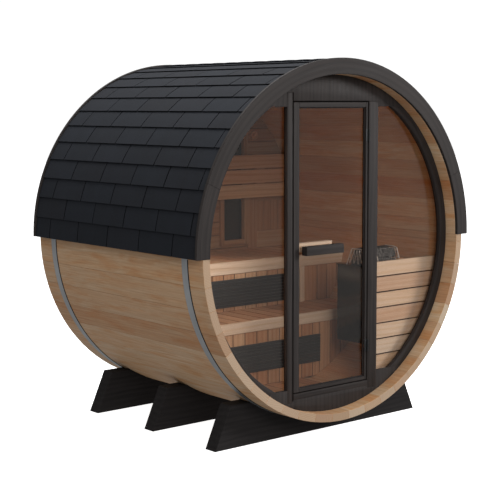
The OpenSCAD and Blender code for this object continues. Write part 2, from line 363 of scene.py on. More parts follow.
class Mat:
    def __init__(self, name):
        self.m = bpy.data.materials.new(name)
        self.m.use_nodes = True
        self.t = self.m.node_tree
        self.t.nodes.clear()
        self.out = self.t.nodes.new("ShaderNodeOutputMaterial")
        self.p = self.t.nodes.new("ShaderNodeBsdfPrincipled")
        self.t.links.new(self.p.outputs["BSDF"], self.out.inputs["Surface"])

    def n(self, kind, **kw):
        node = self.t.nodes.new(kind)
        for k, v in kw.items():
            setattr(node, k, v)
        return node

    def link(self, a, b):
        self.t.links.new(a, b)

    def attr(self, name, out):
        a = self.n("ShaderNodeAttribute", attribute_name=name, attribute_type="GEOMETRY")
        return a.outputs[out]

    def mapping(self, src, scale, loc=(0, 0, 0)):
        m = self.n("ShaderNodeMapping")
        m.inputs["Scale"].default_value = scale
        m.inputs["Location"].default_value = loc
        self.link(src, m.inputs["Vector"])
        return m.outputs["Vector"]

    def noise(self, vec, scale=1.0, detail=3.0, rough=0.55, dist=0.0, out="Fac"):
        n = self.n("ShaderNodeTexNoise")
        n.inputs["Scale"].default_value = scale
        n.inputs["Detail"].default_value = detail
        n.inputs["Roughness"].default_value = rough
        n.inputs["Distortion"].default_value = dist
        self.link(vec, n.inputs["Vector"])
        return n.outputs[out]

    def math(self, op, a, b=None, c=None, clamp=False):
        m = self.n("ShaderNodeMath", operation=op, use_clamp=clamp)
        for i, x in enumerate((a, b, c)):
            if x is None:
                continue
            if hasattr(x, "links") or hasattr(x, "is_linked"):
                self.link(x, m.inputs[i])
            else:
                m.inputs[i].default_value = x
        return m.outputs[0]

    def ramp(self, fac, stops, interp="LINEAR"):
        r = self.n("ShaderNodeValToRGB")
        r.color_ramp.interpolation = interp
        while len(r.color_ramp.elements) < len(stops):
            r.color_ramp.elements.new(0.5)
        for e, (p, c) in zip(r.color_ramp.elements, stops):
            e.position = p
            e.color = c if len(c) == 4 else tuple(c) + (1.0,)
        self.link(fac, r.inputs["Fac"])
        return r.outputs["Color"]

    def mix(self, fac, a, b, blend="MIX"):
        m = self.n("ShaderNodeMix", data_type="RGBA", blend_type=blend)
        m.clamp_factor = True
        for sock, x in ((m.inputs[0], fac), (m.inputs[6], a), (m.inputs[7], b)):
            if hasattr(x, "is_linked"):
                self.link(x, sock)
            else:
                sock.default_value = x
        return m.outputs[2]

    def maprange(self, v, a, b, c, d):
        m = self.n("ShaderNodeMapRange")
        m.inputs["From Min"].default_value = a
        m.inputs["From Max"].default_value = b
        m.inputs["To Min"].default_value = c
        m.inputs["To Max"].default_value = d
        self.link(v, m.inputs["Value"])
        return m.outputs["Result"]

    def scale(self, color, gain):
        """A colour times a constant one."""
        v = self.n("ShaderNodeVectorMath", operation="MULTIPLY")
        self.link(color, v.inputs[0])
        v.inputs[1].default_value = gain
        return v.outputs[0]

    def scalar(self, color, factor):
        v = self.n("ShaderNodeVectorMath", operation="SCALE")
        self.link(color, v.inputs[0])
        self.link(factor, v.inputs["Scale"])
        return v.outputs[0]

    def bump(self, height, strength, distance, normal=None):
        b = self.n("ShaderNodeBump")
        b.inputs["Strength"].default_value = strength
        b.inputs["Distance"].default_value = distance
        self.link(height, b.inputs["Height"])
        if normal is not None:
            self.link(normal, b.inputs["Normal"])
        return b.outputs["Normal"]

    def set(self, **kw):
        for k, v in kw.items():
            s = self.p.inputs[k.replace("_", " ")]
            if hasattr(v, "is_linked"):
                self.link(v, s)
            else:
                s.default_value = v
        return self


def wood(name, palette, ring_dark, streak=0.35, ring=0.45, rough=(0.5, 0.68), bump=0.35, board_spread=0.22, gloss=0.35, ring_scale=9.0, sat=0.35, gain=(1.0, 1.0, 1.0), end=None, blotch=0.0):
    """Timber: palette is the range of board colours, ring_dark multiplies the late wood, end the sawn ends."""
    m = Mat(name)
    g = m.attr("grain", "Vector")
    tone = m.attr("tone", "Fac")
    hue = m.attr("hue", "Fac")
    # slow wander of the grain, then growth bands along it
    wander = m.noise(m.mapping(g, (0.9, 5.0, 5.0)), 1.0, 2.0, 0.5, out="Color")
    add = m.n("ShaderNodeVectorMath", operation="MULTIPLY_ADD")
    m.link(wander, add.inputs[0])
    add.inputs[1].default_value = (0.0, 0.085, 0.085)
    m.link(g, add.inputs[2])
    bands = m.n("ShaderNodeTexWave", wave_type="BANDS", bands_direction="Y", wave_profile="SIN")
    bands.inputs["Scale"].default_value = ring_scale
    bands.inputs["Distortion"].default_value = 2.6
    bands.inputs["Detail"].default_value = 2.0
    bands.inputs["Detail Scale"].default_value = 1.2
    m.link(m.mapping(add.outputs[0], (0.10, 1.0, 0.55)), bands.inputs["Vector"])
    late = m.math("POWER", bands.outputs["Fac"], 2.2)
    fibres = m.noise(m.mapping(g, (3.2, 170.0, 170.0)), 1.0, 3.0, 0.62)
    pores = m.noise(m.mapping(g, (22.0, 640.0, 640.0)), 1.0, 2.0, 0.5)
    broad = m.noise(m.mapping(g, (0.7, 15.0, 15.0), (3.0, 1.0, 2.0)), 1.0, 2.0, 0.5)
    base = m.ramp(hue, palette)
    # board brightness
    lightness = m.maprange(tone, 0.0, 1.0, 1.0 - board_spread, 1.0 + board_spread * 0.6)
    lmix = m.n("ShaderNodeVectorMath", operation="SCALE")
    m.link(base, lmix.inputs[0])
    m.link(lightness, lmix.inputs["Scale"])
    warm = m.mix(m.math("MULTIPLY", m.maprange(broad, 0.35, 0.7, 0.0, 1.0), sat), lmix.outputs[0], (0.98, 0.74, 0.50, 1.0), "MULTIPLY")
    if blotch:
        patch = m.noise(m.mapping(g, (2.6, 17.0, 17.0), (1.0, 7.0, 4.0)), 1.0, 4.0, 0.62, 0.6)
        fleck = m.noise(m.mapping(g, (8.5, 85.0, 85.0), (6.0, 3.0, 8.0)), 1.0, 3.0, 0.6, 0.3)
        warm = m.mix(m.math("MULTIPLY", m.maprange(patch, 0.44, 0.66, 0.0, 1.0), blotch), warm, (0.93, 0.70, 0.48, 1.0), "MULTIPLY")
        warm = m.mix(m.math("MULTIPLY", m.maprange(fleck, 0.50, 0.72, 0.0, 1.0), blotch * 0.8), warm, (1.13, 1.16, 1.18, 1.0), "MULTIPLY")
    c1 = m.mix(m.math("MULTIPLY", late, ring), warm, ring_dark, "MULTIPLY")
    c2 = m.mix(m.math("MULTIPLY", m.maprange(fibres, 0.42, 0.72, 0.0, 1.0), streak), c1, (0.62, 0.50, 0.40, 1.0), "MULTIPLY")
    c3 = m.mix(m.math("MULTIPLY", m.maprange(pores, 0.52, 0.8, 0.0, 1.0), 0.28), c2, (0.55, 0.42, 0.33, 1.0), "MULTIPLY")
    h = m.math("ADD", m.math("MULTIPLY", fibres, 0.6), m.math("MULTIPLY", late, 0.5))
    h2 = m.math("ADD", h, m.math("MULTIPLY", pores, 0.35))
    if gain != (1.0, 1.0, 1.0):
        c3 = m.scale(c3, gain)
    # painted shade gathered in the joints and gaps, from the edge mark
    c3 = m.scalar(c3, m.maprange(m.attr("edge", "Fac"), 0.0, 1.0, 1.0, 0.30))
    if end:
        # sawn ends: pores seen head on, faint growth arcs, no long streaks
        sep = m.n("ShaderNodeSeparateXYZ")
        m.link(m.n("ShaderNodeNewGeometry").outputs["Normal"], sep.inputs[0])
        face = m.maprange(m.math("ABSOLUTE", sep.outputs["Y"]), 0.80, 0.93, 0.0, 1.0)
        face = m.math("MAXIMUM", m.math("MINIMUM", face, 1.0), 0.0)
        speck = m.noise(m.mapping(g, (90.0, 420.0, 420.0)), 1.0, 3.0, 0.6)
        arc = m.n("ShaderNodeTexWave", wave_type="RINGS", rings_direction="X", wave_profile="SIN")
        arc.inputs["Scale"].default_value = 26.0
        arc.inputs["Distortion"].default_value = 3.2
        arc.inputs["Detail"].default_value = 2.0
        m.link(m.mapping(g, (0.3, 1.0, 1.0)), arc.inputs["Vector"])
        pale = m.scale(m.scalar(base, lightness), end)
        pale = m.mix(m.math("MULTIPLY", arc.outputs["Fac"], 0.34), pale, (0.74, 0.64, 0.54, 1.0), "MULTIPLY")
        pale = m.mix(m.maprange(speck, 0.48, 0.74, 0.0, 0.42), pale, (0.60, 0.48, 0.38, 1.0), "MULTIPLY")
        c3 = m.mix(face, c3, pale)
    m.set(Base_Color=c3, Roughness=m.maprange(fibres, 0.3, 0.75, rough[0], rough[1]), Normal=m.bump(h2, bump, 0.0006))
    m.p.inputs["Specular IOR Level"].default_value = gloss
    return m.m


def dark_timber(name, base, light, bump=0.55, rough=(0.55, 0.75), gloss=0.35):
    m = Mat(name)
    g = m.attr("grain", "Vector")
    tone = m.attr("tone", "Fac")
    wander = m.noise(m.mapping(g, (1.1, 7.0, 7.0)), 1.0, 2.0, 0.5, out="Color")
    add = m.n("ShaderNodeVectorMath", operation="MULTIPLY_ADD")
    m.link(wander, add.inputs[0])
    add.inputs[1].default_value = (0.0, 0.06, 0.06)
    m.link(g, add.inputs[2])
    bands = m.n("ShaderNodeTexWave", wave_type="BANDS", bands_direction="Y", wave_profile="SIN")
    bands.inputs["Scale"].default_value = 10.0
    bands.inputs["Distortion"].default_value = 3.0
    bands.inputs["Detail"].default_value = 2.0
    m.link(m.mapping(add.outputs[0], (0.12, 1.0, 0.6)), bands.inputs["Vector"])
    fibres = m.noise(m.mapping(g, (3.5, 150.0, 150.0)), 1.0, 3.0, 0.65)
    cloud = m.noise(m.mapping(g, (1.6, 12.0, 12.0), (5.0, 2.0, 1.0)), 1.0, 3.0, 0.6)
    lightness = m.maprange(tone, 0.0, 1.0, 0.9, 1.1)
    f = m.math("ADD", m.math("MULTIPLY", m.maprange(fibres, 0.35, 0.7, 0.0, 1.0), 0.55), m.math("MULTIPLY", bands.outputs["Fac"], 0.25))
    f = m.math("ADD", f, m.math("MULTIPLY", m.maprange(cloud, 0.35, 0.7, -0.1, 0.35), 0.6), clamp=True)
    c = m.mix(f, base, light)
    s = m.n("ShaderNodeVectorMath", operation="SCALE")
    m.link(c, s.inputs[0])
    m.link(lightness, s.inputs["Scale"])
    h = m.math("ADD", fibres, m.math("MULTIPLY", bands.outputs["Fac"], 0.4))
    m.set(Base_Color=s.outputs[0], Roughness=m.maprange(fibres, 0.3, 0.75, rough[0], rough[1]), Normal=m.bump(h, bump, 0.0008))
    m.p.inputs["Specular IOR Level"].default_value = gloss
    return m.m


def shingle_mat():
    m = Mat("roof_shingle_granules")
    g = m.attr("grain", "Vector")
    tone = m.attr("tone", "Fac")
    hue = m.attr("hue", "Fac")
    gran = m.n("ShaderNodeTexVoronoi", feature="F1")
    gran.inputs["Scale"].default_value = 420.0
    m.link(g, gran.inputs["Vector"])
    speck = m.noise(g, 260.0, 3.0, 0.7)
    cloud = m.noise(m.mapping(g, (5.0, 9.0, 9.0)), 1.0, 3.0, 0.6)
    base = m.mix(hue, srgb("191c22"), srgb("1b1c21"))
    light = m.mix(m.maprange(speck, 0.50, 0.78, 0.0, 0.55), base, srgb("363b43"))
    dark = m.mix(m.maprange(gran.outputs["Distance"], 0.0, 0.55, 0.35, 0.0), light, srgb("15171b"))
    tinted = m.mix(m.maprange(cloud, 0.3, 0.75, 0.0, 0.35), dark, srgb("22262e"))
    s = m.n("ShaderNodeVectorMath", operation="SCALE")
    m.link(tinted, s.inputs[0])
    # painted shadow: the edge mark darkens each tab's butt edge and slots
    edge = m.maprange(m.attr("edge", "Fac"), 0.0, 1.0, 1.0, 0.16)
    m.link(m.math("MULTIPLY", m.maprange(tone, 0.0, 1.0, 0.93, 1.07), edge), s.inputs["Scale"])
    h = m.math("ADD", m.math("MULTIPLY", gran.outputs["Distance"], -0.7), m.math("MULTIPLY", speck, 0.6))
    m.set(Base_Color=s.outputs[0], Roughness=m.maprange(speck, 0.3, 0.8, 0.82, 0.96), Normal=m.bump(h, 0.5, 0.0009))
    m.p.inputs["Specular IOR Level"].default_value = 0.22
    return m.m


def metal(name, color, rough, scratch=(4.0, 300.0, 300.0), metallic=1.0, bump=0.15, vary=0.12):
    m = Mat(name)
    g = m.attr("grain", "Vector")
    brush = m.noise(m.mapping(g, scratch), 1.0, 3.0, 0.6)
    cloud = m.noise(m.mapping(g, (7.0, 9.0, 9.0)), 1.0, 3.0, 0.55)
    c = m.mix(m.maprange(cloud, 0.3, 0.7, 0.0, 1.0), tuple(x * (1 - vary) for x in color[:3]) + (1.0,), tuple(min(1.0, x * (1 + vary)) for x in color[:3]) + (1.0,))
    m.set(Base_Color=c, Roughness=m.maprange(brush, 0.3, 0.7, rough * 0.85, min(1.0, rough * 1.2)), Normal=m.bump(brush, bump, 0.0003))
    m.p.inputs["Metallic"].default_value = metallic
    return m.m


def stone_mat():
    m = Mat("heater_stone")
    g = m.attr("grain", "Vector")
    tone = m.attr("tone", "Fac")
    a = m.noise(g, 26.0, 5.0, 0.65)
    b = m.noise(g, 160.0, 3.0, 0.6)
    c = m.ramp(a, [(0.3, srgb("3c3f42")), (0.55, srgb("63666a")), (0.75, srgb("8d9092"))])
    c = m.mix(m.maprange(b, 0.45, 0.75, 0.0, 0.6), c, srgb("2b2d2f"))
    s = m.n("ShaderNodeVectorMath", operation="SCALE")
    m.link(c, s.inputs[0])
    m.link(m.maprange(tone, 0.0, 1.0, 0.75, 1.35), s.inputs["Scale"])
    m.set(Base_Color=s.outputs[0], Roughness=m.maprange(a, 0.3, 0.7, 0.7, 0.9), Normal=m.bump(m.math("ADD", a, b), 0.6, 0.003))
    return m.m


def glass(name, tint, gloss=0.09, rough=0.02, haze=0.0, haze_color=(0.5, 0.42, 0.36, 1.0)):
    """Float glass: what is behind shows through the tint, with a mirror reflection that grows at a glancing angle."""
    m = Mat(name)
    t = m.t
    t.nodes.remove(m.p)
    g = m.n("ShaderNodeTexCoord").outputs["Object"]
    tr = m.n("ShaderNodeBsdfTransparent")
    tr.inputs["Color"].default_value = tint
    gl = m.n("ShaderNodeBsdfGlossy")
    gl.inputs["Color"].default_value = (1, 1, 1, 1)
    smear = m.noise(m.mapping(g, (3.0, 3.0, 1.2)), 1.0, 2.0, 0.5)
    m.link(m.maprange(smear, 0.3, 0.7, rough * 0.7, rough * 1.6), gl.inputs["Roughness"])
    wave = m.noise(m.mapping(g, (1.4, 1.4, 0.8)), 1.0, 1.0, 0.4)
    m.link(m.bump(wave, 0.03, 0.002), gl.inputs["Normal"])
    lw = m.n("ShaderNodeLayerWeight")
    lw.inputs["Blend"].default_value = 0.5
    schlick = m.math("MULTIPLY_ADD", m.math("POWER", lw.outputs["Facing"], 5.0), 0.96, 0.04)
    mx = m.n("ShaderNodeMixShader")
    m.link(m.math("MULTIPLY", schlick, gloss), mx.inputs[0])
    m.link(tr.outputs[0], mx.inputs[1])
    m.link(gl.outputs[0], mx.inputs[2])
    if haze:
        df = m.n("ShaderNodeBsdfDiffuse")
        df.inputs["Color"].default_value = haze_color
        mh = m.n("ShaderNodeMixShader")
        mh.inputs[0].default_value = haze
        m.link(mx.outputs[0], mh.inputs[1])
        m.link(df.outputs[0], mh.inputs[2])
        m.link(mh.outputs[0], m.out.inputs["Surface"])
    else:
        m.link(mx.outputs[0], m.out.inputs["Surface"])
    return m.m


PAL_OUT = [(0.0, srgb("d2ab81")), (0.3, srgb("cca277")), (0.5, srgb("d8b48c")), (0.68, srgb("c99b70")), (0.84, srgb("dcbe97")), (1.0, srgb("c39267"))]
PAL_IN = [(0.0, srgb("cf9a72")), (0.4, srgb("c48a60")), (0.7, srgb("d9a980")), (1.0, srgb("b97d55"))]
PAL_PALE = [(0.0, srgb("ecd0aa")), (0.35, srgb("e3bf94")), (0.6, srgb("f0dab8")), (1.0, srgb("dcb288"))]
M_STAVE = wood("stave_softwood", PAL_OUT, (0.78, 0.64, 0.50, 1.0), streak=0.40, ring=0.20, ring_scale=19.0, board_spread=0.08, blotch=0.85, sat=0.45, gain=(0.95, 1.04, 1.20), end=(0.70, 0.78, 0.96))
M_ROOM = wood("cabin_softwood", PAL_IN, (0.70, 0.58, 0.48, 1.0), streak=0.34, ring=0.42, board_spread=0.12, gain=(0.97, 1.22, 1.48))
# the cabin wood at about 0.62 of its brightness for the rear wall, its window frame and wainscot: painted shade
M_BACK = wood("back_wall_softwood_painted_shade", PAL_IN, (0.70, 0.58, 0.48, 1.0), streak=0.36, ring=0.36, board_spread=0.12, gain=(0.62, 0.76, 0.90))
M_PALE = wood("pale_softwood", PAL_PALE, (0.80, 0.66, 0.52, 1.0), streak=0.28, ring=0.34, board_spread=0.08, sat=0.25, gain=(0.98, 1.24, 1.75))
M_DARK = dark_timber("dark_stained_timber", srgb("1f1b1a"), srgb("3a3432"), gloss=0.22)
M_CRADLE = dark_timber("cradle_timber", srgb("1b1919"), srgb("2d2a2a"), rough=(0.7, 0.85), gloss=0.15)
M_PANEL = dark_timber("dark_inset_panel", srgb("24272a"), srgb("3c4145"), bump=0.3, rough=(0.3, 0.45), gloss=0.55)
# near-black brown for the strips between the guard slats: painted shade in the gaps
M_TONGUE = dark_timber("tongue_painted_shade", srgb("2c1a11"), srgb("452b1b"), bump=0.3, gloss=0.1)
M_SHINGLE = shingle_mat()
M_UNDER = dark_timber("roof_underlay", srgb("141518"), srgb("222429"), bump=0.3, rough=(0.8, 0.95))
M_BAND = metal("galvanised_band", srgb("a9abad"), 0.42, metallic=0.75)
M_IRON = metal("hinge_black_metal", srgb("2a2a2b"), 0.45, metallic=0.55)
M_STEEL = metal("heater_dark_steel", srgb("3a3d40"), 0.14, metallic=0.8, bump=0.04, vary=0.06)
# near-white wire colour: bright steel wire with painted highlight, the glints on the basket wires
M_WIRE = metal("bright_rod_painted_highlight", srgb("dcdcda"), 0.34, metallic=0.25)
M_BASKET = metal("basket_steel", srgb("55595d"), 0.4, metallic=0.7)
M_STONE = stone_mat()
M_GLASS = glass("bronze_glass", (0.93, 0.88, 0.84, 1.0), gloss=1.0)
M_GLASS_BACK = glass("grey_glass", (0.045, 0.042, 0.040, 1.0), gloss=1.0)

# ------------------------------------------------------------------ staves
N_STAVES = 47
PITCH = 360.0 / N_STAVES
FIRST = 188.7


def stave_angles():
    cuts = [((FIRST + k * PITCH) % 360.0) for k in range(N_STAVES)]
    low = sorted(a for a in cuts if 183.0 < a < 359.0)
    up = sorted(a for a in cuts if 3.0 < a < 177.0)
    return [180.0] + low + [360.0], [0.0] + up + [180.0]


def stave(b, a0, a1, y0, y1):
    gap = 0.0004
    d = gap / R_OUT / RAD
    a0, a1 = a0 + d, a1 - d
    W = (a1 - a0) * RAD * R_OUT

    def place(u, v, w):
        a = a0 + (v / R_OUT) / RAD
        r = R_IN + w
        return (r * math.cos(a * RAD), y0 + u, AX + r * math.sin(a * RAD))

    # the mark paints shade along each stave's long joints
    b.board(y1 - y0, W, R_OUT - R_IN, place, nL=1, nW=max(2, int(W / 0.018)), c=0.0014,
            mark=lambda u, v, w: 0.8 if (v < 0.0012 or v > W - 0.0012) and 0.01 < u < y1 - y0 - 0.01 else 0.0)


LOW, UP = stave_angles()
groups = {"staves_left_lower": Build(), "staves_bottom": Build(), "staves_right_lower": Build(),
          "staves_right_upper": Build(), "staves_crown": Build(), "staves_left_upper": Build()}
for cuts, y0, y1 in ((LOW, Y0, Y1), (UP, YS0, YS1)):
    for a0, a1 in zip(cuts, cuts[1:]):
        mid = (a0 + a1) / 2
        key = ["staves_right_upper", "staves_crown", "staves_left_upper", "staves_left_lower", "staves_bottom", "staves_right_lower"][int(mid // 60)]
        stave(groups[key], a0, a1, y0, y1)
for key, b in groups.items():
    b.make(key + "_boards", M_STAVE, replaces=[key], slot="stave_wood")

# ------------------------------------------------------------------ steel bands
x0, x1, yb0, yb1, z0, z1 = B("steel_bands")
BW = 0.050
bands = Build()
for y0 in (yb0, yb1 - BW):
    n = 144
    prof = [(R_OUT, 0.0), (R_OUT + 0.0012, 0.0), (R_OUT + 0.0020, 0.0010), (R_OUT + 0.0020, BW - 0.0010), (R_OUT + 0.0012, BW), (R_OUT, BW)]
    verts, grain, faces = [], [], []
    for i in range(n):
        a = 360.0 * i / n
        for (r, h) in prof:
            verts.append(polar(r, a, y0 + h))
            grain.append(Vector((a * RAD, h, r)))
    k = len(prof)
    for i in range(n):
        for j in range(k):
            p, q = i * k + j, i * k + (j + 1) % k
            faces.append((p, q, (q + k) % (n * k), (p + k) % (n * k)))
    bands.raw(verts, faces, grain)
bands.make("steel_band_hoops", M_BAND, replaces=["steel_bands"], slot="band_steel")
# a dark strip along the front edge of each band, below the roof: painted shadow of the gap under the band
strip = Build()
for y0 in (yb0, yb1 - BW):
    n = 96
    prof = [(R_OUT + 0.0002, -0.0052), (R_OUT + 0.0022, -0.0048), (R_OUT + 0.0026, 0.0), (R_OUT + 0.0021, 0.0012), (R_OUT + 0.0002, 0.0012)]
    verts, grain, faces = [], [], []
    for i in range(n + 1):
        a = 180.6 + 178.8 * i / n
        for (r, h) in prof:
            verts.append(polar(r, a, y0 + h))
            grain.append(Vector((a * RAD, h, r)))
    k = len(prof)
    for i in range(n):
        for j in range(k):
            p, q = i * k + j, i * k + (j + 1) % k
            faces.append((p, q, q + k, p + k))
    faces.append(tuple(range(k))[::-1])
    faces.append(tuple(n * k + j for j in range(k)))
    strip.raw(verts, faces, grain)
strip.make("steel_band_edge_painted_shadow", M_UNDER, slot="band_steel")

# ------------------------------------------------------------------ roof
COURSE = 6.65
TAB = 0.3035
R_DECK = R_ROOF - 0.0135
Y_R0, Y_R1 = B("roof_crown")[2], B("roof_crown")[3]
PROUD = 0.0008


def arc_piece(b, r0, r1, a0, a1, y0, y1, n=24, grain_off=None):
    verts, grain, faces = [], [], []
    for i in range(n + 1):
        a = a0 + (a1 - a0) * i / n
        for (r, y) in ((r0, y0), (r1, y0), (r1, y1), (r0, y1)):
            verts.append(polar(r, a, y))
            grain.append(Vector((y, a * RAD, r)))
    for i in range(n):
        for j in range(4):
            p, q = i * 4 + j, i * 4 + (j + 1) % 4
            faces.append((p, q, q + 4, p + 4))
    faces.append((3, 2, 1, 0))
    faces.append((n * 4, n * 4 + 1, n * 4 + 2, n * 4 + 3))
    b.raw(verts, faces, grain)


r_deck0 = R_OUT + 0.0022
for key, a0, a1 in (("roof_right", 0.25, 60.0), ("roof_crown", 60.0, 120.0), ("roof_left", 120.0, 179.75)):
    b = Build()
    arc_piece(b, r_deck0, R_DECK, a0, a1, Y_R0, Y_R1, n=32)
    b.make(key + "_underlay", M_UNDER, slot="roof_shingles")


def tabs(b, k, side):
    """One course of tabs. side -1 runs up the left of the roof, 1 up the right."""
    eave = 180.0 - COURSE * k if side < 0 else COURSE * k
    start = -0.583 if k % 2 == 0 else -0.73475
    cuts = [Y_R0] + [start + TAB * i for i in range(-1, 8) if Y_R0 + 0.02 < start + TAB * i < Y_R1 - 0.02] + [Y_R1]
    lap = COURSE * RAD * R_ROOF
    length = lap * 1.22
    for y0, y1 in zip(cuts, cuts[1:]):
        g = 0.0030
        ya, yb = (y0 if y0 == Y_R0 else y0 + g), (y1 if y1 == Y_R1 else y1 - g)
        drop = rnd.uniform(-0.0008, 0.0008)
        skew = rnd.uniform(-0.0015, 0.0015)
        lift = rnd.uniform(-0.0004, 0.0006)

        def place(u, v, w):
            # u runs up the slope from the butt edge, v along the barrel, w outward
            s = u / lap
            r = R_ROOF + PROUD + lift * (1 - s) - 0.0070 * s - 0.0068 + w
            a = eave + (-1 if side < 0 else 1) * (-1) * 0.0
            ang = (u + drop * 0) / R_ROOF / RAD
            a = eave - ang if side < 0 else eave + ang
            y = ya + v + skew * s * (1 if 0 < v < (yb - ya) else 1)
            y = min(max(y, Y_R0), Y_R1)
            return (r * math.cos(a * RAD), y, AX + r * math.sin(a * RAD))

        wide = yb - ya
        # mark for painted shadow: full on the butt edge and underside, 0.75 along the slots
        b.board(length, wide, 0.0068, place, nL=4, nW=1, c=0.0011, mark=lambda u, v, w: 1.0 if (u < 0.0006 or w < 0.0050) else (0.75 if (v < 0.0006 or v > wide - 0.0006) else 0.0))


N_SIDE = 13
roofs = {"roof_left": Build(), "roof_crown": Build(), "roof_right": Build()}
for side in (-1, 1):
    for k in range(N_SIDE):
        mid = COURSE * (k + 0.5)
        key = "roof_crown" if mid > 60.0 else ("roof_left" if side < 0 else "roof_right")
        tabs(roofs[key], k, side)
# ridge caps along the crown
cap_w = 90.0 - COURSE * (N_SIDE - 0.05)
n_caps = 12
cap_l = (Y_R1 - Y_R0) / n_caps
for i in range(n_caps):
    y0 = Y_R0 + cap_l * i
    L = cap_l * (1.25 if i < n_caps - 1 else 1.0)
    W = 2 * cap_w * RAD * R_ROOF

    def place(u, v, w, y0=y0):
        s = u / cap_l
        r = R_ROOF + 0.0058 - 0.0042 * s - 0.0045 + w
        a = 90.0 - cap_w + v / R_ROOF / RAD
        return (r * math.cos(a * RAD), y0 + u, AX + r * math.sin(a * RAD))

    roofs["roof_crown"].board(L, W, 0.0045, place, nL=1, nW=6, c=0.0008)
for key, b in roofs.items():
    b.make(key + "_shingles", M_SHINGLE, replaces=[key], slot="roof_shingles")

# ------------------------------------------------------------------ fascias
for key in ("fascia_front", "fascia_rear"):
    x0, x1, y0, y1, z0, z1 = B(key)
    b = Build()
    r0 = R_IN + 0.001
    W = R_FAS - r0
    L = math.pi * (r0 + W / 2)

    def place(u, v, w, y0=y0):
        a = 180.0 * u / L
        r = r0 + v
        return (r * math.cos(a * RAD), y0 + w, AX + r * math.sin(a * RAD))

    # three curved boards, butted where the photo shows the joint
    for a0, a1, tn in ((0.0, 21.8, 0.75), (21.8, 158.2, 0.5), (158.2, 180.0, 0.8)):
        seg = lambda u, v, w, a0=a0: place(u + L * a0 / 180.0, v, w)
        b.board(L * (a1 - a0) / 180.0, W, y1 - y0, seg, nL=int(110 * (a1 - a0) / 180.0) + 2, nW=1, c=0.0022, tone=tn, hue=0.5)
    b.make(key + "_board", M_DARK, replaces=[key], slot="dark_timber")

# ------------------------------------------------------------------ cradles
for key in ("cradle_front", "cradle_middle", "cradle_rear"):
    x0, x1, y0, y1, z0, z1 = B(key)
    top_half = max(abs(v.co.x) for v in NODES[key].data.vertices if v.co.z > z1 - 1e-4)
    # the arc's ends where the stave wall meets the top edge
    ax = math.sqrt(R_OUT ** 2 - (AX - z1) ** 2)
    arc = []
    a_start = math.atan2(z1 - AX, ax)
    a_end = math.atan2(z1 - AX, -ax)
    steps = 48
    if a_end > a_start:
        a_end -= 2 * math.pi
    r = R_OUT + 0.0003
    for i in range(steps + 1):
        a = a_start + (a_end - a_start) * i / steps
        arc.append((r * math.cos(a), AX + r * math.sin(a)))
    out = [(x0, z0), (x1, z0), (top_half, z1)] + arc + [(-top_half, z1)]
    b = Build()
    b.plate(out, y0, y1, c=0.0022, grain="x", tone=0.5)
    b.make(key + "_timber", M_CRADLE, replaces=[key], slot="dark_timber")

# ------------------------------------------------------------------ front wall
up = lambda x, y, z: (z, x, y)
along_x = lambda x, y, z: (x, z, y)
round_grain = lambda x, y, z: (math.atan2(z - AX, x) * 0.92, math.hypot(x, z - AX), y)
from_node("front_head_panel", "front_head_board", M_DARK, bevel=0.0018, grain=up, tone=0.35)
from_node("front_sill_panel", "front_sill_board", M_DARK, bevel=0.0018, grain=up, tone=0.45)
from_node("threshold", "threshold_board", M_DARK, bevel=0.0018, grain=along_x, tone=0.7)
from_node("front_ring_left", "front_ring_left_piece", M_DARK, bevel=0.0018, grain=round_grain, tone=0.5)
from_node("front_ring_right", "front_ring_right_piece", M_DARK, bevel=0.0018, grain=round_grain, tone=0.5)
from_node("post_handle_side", "post_handle_side_timber", M_DARK, bevel=0.0018, grain=up, tone=0.65)
from_node("post_hinge_side", "post_hinge_side_timber", M_DARK, bevel=0.0018, grain=up, tone=0.6)

# ------------------------------------------------------------------ door
dx0, dx1, dy0, dy1, dz0, dz1 = B("door_frame")
gx0, gx1, gy0, gy1, gz0, gz1 = B("door_glass")
REB = 0.0075
ox0, ox1, oz0, oz1 = gx0 + REB, gx1 - REB, gz0 + REB, gz1 - REB
b = Build()


def member(b, x0, x1, z0, z1, glass_side, grain):
    """A door member with a groove for the pane on its inner edge."""
    # three layers: front lip, core, back lip, the core set back by the groove
    front, back = (dy0, gy0 - 0.0001), (gy1 + 0.0001, dy1)
    b.box(x0, x1, front[0], front[1], z0, z1, grain=grain, c=0.0018)
    b.box(x0, x1, back[0], back[1], z0, z1, grain=grain, c=0.0014)
    cx0, cx1, cz0, cz1 = x0, x1, z0, z1
    if glass_side == "x1":
        cx1 = gx0 - 0.0003
    elif glass_side == "x0":
        cx0 = gx1 + 0.0003
    elif glass_side == "z1":
        cz1 = gz0 - 0.0003
    else:
        cz0 = gz1 + 0.0003
    b.box(cx0 + 0.0006 * (glass_side != "x0"), cx1 - 0.0006 * (glass_side != "x1"), front[1] - 0.0002, back[0] + 0.0002, cz0 + 0.0004, cz1 - 0.0004, grain=grain, c=0.0001)


member(b, dx0, ox0, dz0, dz1, "x1", "z")
member(b, ox1, dx1, dz0, dz1, "x0", "z")
member(b, ox0, ox1, dz0, oz0, "z1", "x")
member(b, ox0, ox1, oz1, dz1, "z0", "x")
b.make("door_frame_members", M_DARK, body="door", replaces=["door_frame"], slot="dark_timber")
